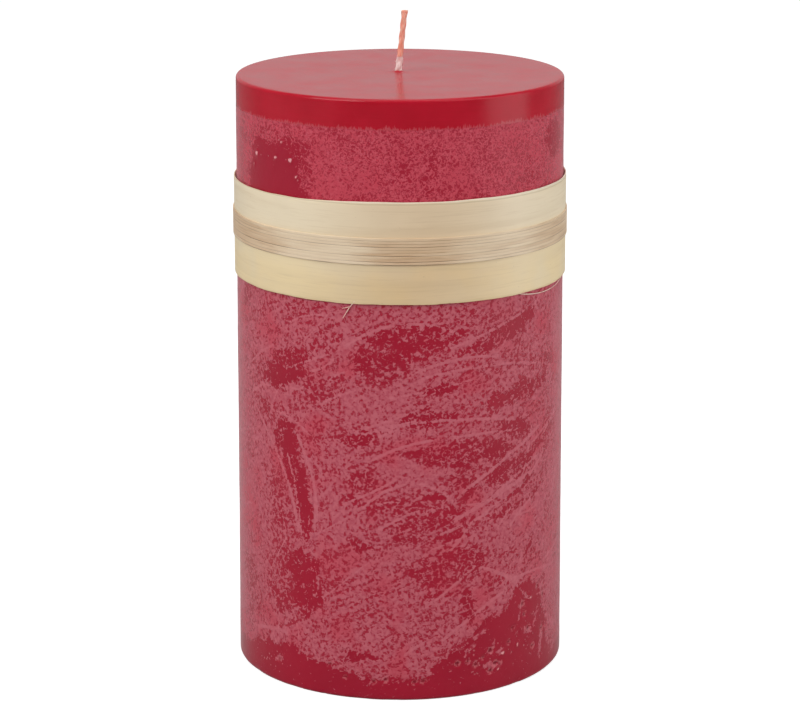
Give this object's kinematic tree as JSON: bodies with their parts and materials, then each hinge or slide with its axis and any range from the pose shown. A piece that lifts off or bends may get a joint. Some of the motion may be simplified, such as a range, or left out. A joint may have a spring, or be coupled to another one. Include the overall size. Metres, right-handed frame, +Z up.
{
  "type": "pillar candle",
  "caption": "Round moulded pillar candle with a smooth darker top, a free-standing wick, and a lift-off veneer band with a belt of fine strands.",
  "frame": {"origin": "centre of the base, on the candle's axis", "axes": "+Z up along the candle's axis; -Y is the front, opposite the band's lapped ends; +X is the side the wick leans to"},
  "size_m": [0.085, 0.0855, 0.1678],
  "materials": {
    "frosted_wax": "mottled, frosted with fine wax crystals",
    "smooth_wax": "smooth and glossy",
    "waxed_cotton": "braided cotton, wax-coated",
    "tinned_steel": "stamped, tinned",
    "veneer": "thin pale veneer, fine straight grain",
    "glue": "dried clear glue",
    "strand": "dried plant splints, satin"
  },
  "bodies": {
    "candle": {"wax_body": "frosted_wax", "top_pour": "smooth_wax", "wick": "waxed_cotton", "wick_tab": "tinned_steel"},
    "band": {"strip": "veneer", "strip_glue": "glue", "belt_glue": "glue", "belt_strand_1": "strand", "belt_strand_2": "strand", "belt_strand_3": "strand", "belt_strand_4": "strand", "belt_strand_5": "strand", "belt_strand_6": "strand", "belt_strand_7": "strand", "belt_strand_8": "strand", "belt_strand_9": "strand"}
  },
  "joints": [
    {"name": "band_lift", "type": "slide", "parent": "candle", "child": "band", "axis": [0, 0, 1], "range_m": [0, 0.07]}
  ]
}
